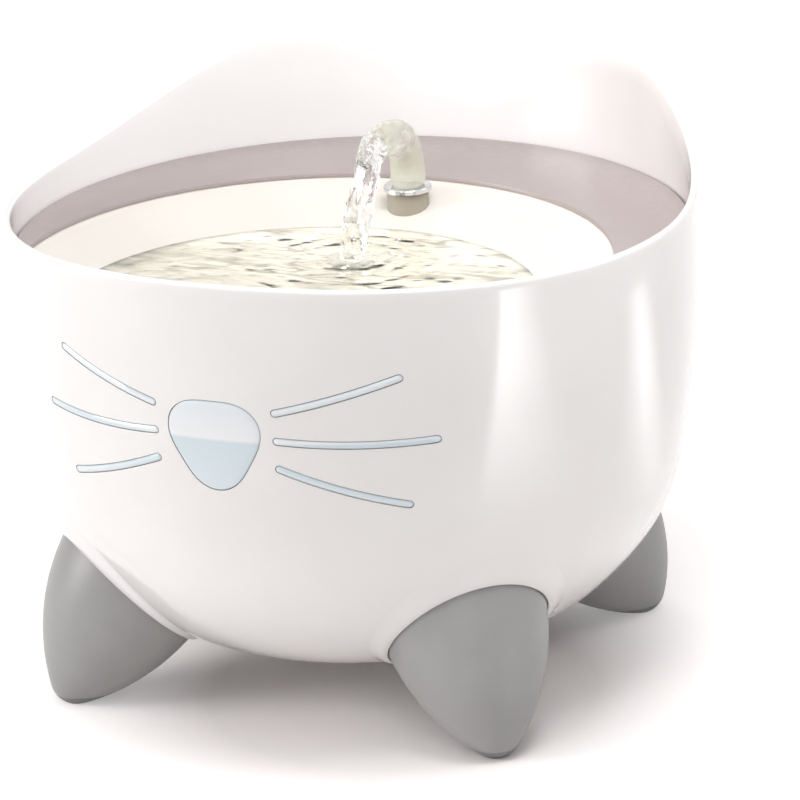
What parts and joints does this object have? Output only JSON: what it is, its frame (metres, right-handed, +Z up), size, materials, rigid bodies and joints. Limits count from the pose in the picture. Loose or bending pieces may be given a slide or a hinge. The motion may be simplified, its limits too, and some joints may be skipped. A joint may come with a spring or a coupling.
{
  "type": "pet water fountain",
  "caption": "Cat-eared bowl on hooded teardrop feet, with clear nose and whisker windows, a lift-out drinking dish with a spout, a filter basket under it and a submerged pump.",
  "frame": {"origin": "on the floor, under the middle of the bowl", "axes": "+Z up, the face looks along -Y, +X to the right of someone who looks at the face"},
  "size_m": [0.25, 0.25, 0.2015],
  "materials": {
    "bowl_white": "gloss",
    "window_clear": "gloss",
    "seal_silicone": "matte",
    "foot_grey": "satin",
    "pad_rubber": "matte",
    "screw_steel": "satin",
    "grommet_rubber": "matte",
    "dish_white": "gloss",
    "deck_taupe": "satin",
    "grille_white": "satin",
    "spout_ivory": "gloss",
    "ring_steel": "polished",
    "tube_silicone": "satin",
    "basket_white": "satin",
    "frame_grey": "satin",
    "pad_fibre": "matte",
    "carbon_black": "matte",
    "pump_grey": "satin",
    "foam_black": "matte",
    "impeller_white": "satin",
    "magnet_ferrite": "matte",
    "shaft_ceramic": "polished",
    "bush_rubber": "matte",
    "core_steel": "satin",
    "coil_copper": "gloss",
    "cup_rubber": "gloss",
    "board_green": "satin",
    "lens_clear": "gloss"
  },
  "bodies": {
    "base": {"bowl_shell": "bowl_white", "nose_window": "window_clear", "nose_seal": "seal_silicone", "whisker_left_upper": "window_clear", "whisker_left_middle": "window_clear", "whisker_left_lower": "window_clear", "whisker_right_upper": "window_clear", "whisker_right_middle": "window_clear", "whisker_right_lower": "window_clear", "foot_front_left": "foot_grey", "foot_front_right": "foot_grey", "foot_rear_left": "foot_grey", "foot_rear_right": "foot_grey", "foot_pads": "pad_rubber", "foot_screws": "screw_steel", "cable_grommet": "grommet_rubber"},
    "dish": {"dish": "dish_white", "dish_deck": "deck_taupe", "drain_grille": "grille_white", "spout_nozzle": "spout_ivory", "spout_ring": "ring_steel", "riser_tube": "tube_silicone"},
    "filter": {"filter_basket": "basket_white", "filter_frame": "frame_grey", "filter_pad": "pad_fibre", "carbon_bed": "carbon_black"},
    "pump": {"pump_housing": "pump_grey", "pump_rear_cover": "pump_grey", "rotor_shaft": "shaft_ceramic", "shaft_bush_rear": "bush_rubber", "stator_core": "core_steel", "stator_coil": "coil_copper", "suction_cups": "cup_rubber", "led_board": "board_green", "led_lens": "lens_clear"},
    "intake": {"pump_intake_cover": "pump_grey", "prefilter_foam": "foam_black", "shaft_bush_front": "bush_rubber"},
    "rotor": {"impeller": "impeller_white", "rotor_magnet": "magnet_ferrite"}
  },
  "joints": [
    {"name": "dish_lift", "type": "slide", "parent": "base", "child": "dish", "axis": [0, 0, 1], "range_m": [0, 0.14]},
    {"name": "filter_pull", "type": "slide", "parent": "dish", "child": "filter", "axis": [0, 0, -1], "range_m": [0, 0.03]},
    {"name": "pump_lift", "type": "slide", "parent": "base", "child": "pump", "axis": [0, 0, 1], "range_m": [0, 0.035]},
    {"name": "intake_pull", "type": "slide", "parent": "pump", "child": "intake", "axis": [0, -1, 0], "range_m": [0, 0.012]},
    {"name": "impeller_spin", "type": "hinge", "parent": "pump", "child": "rotor", "pos_m": [0, 0.052, 0.046], "axis": [0, 1, 0], "continuous": true}
  ],
  "couplings": [
    {"joint": "pump_lift", "follows": "dish_lift", "ratio": 0.25}
  ]
}
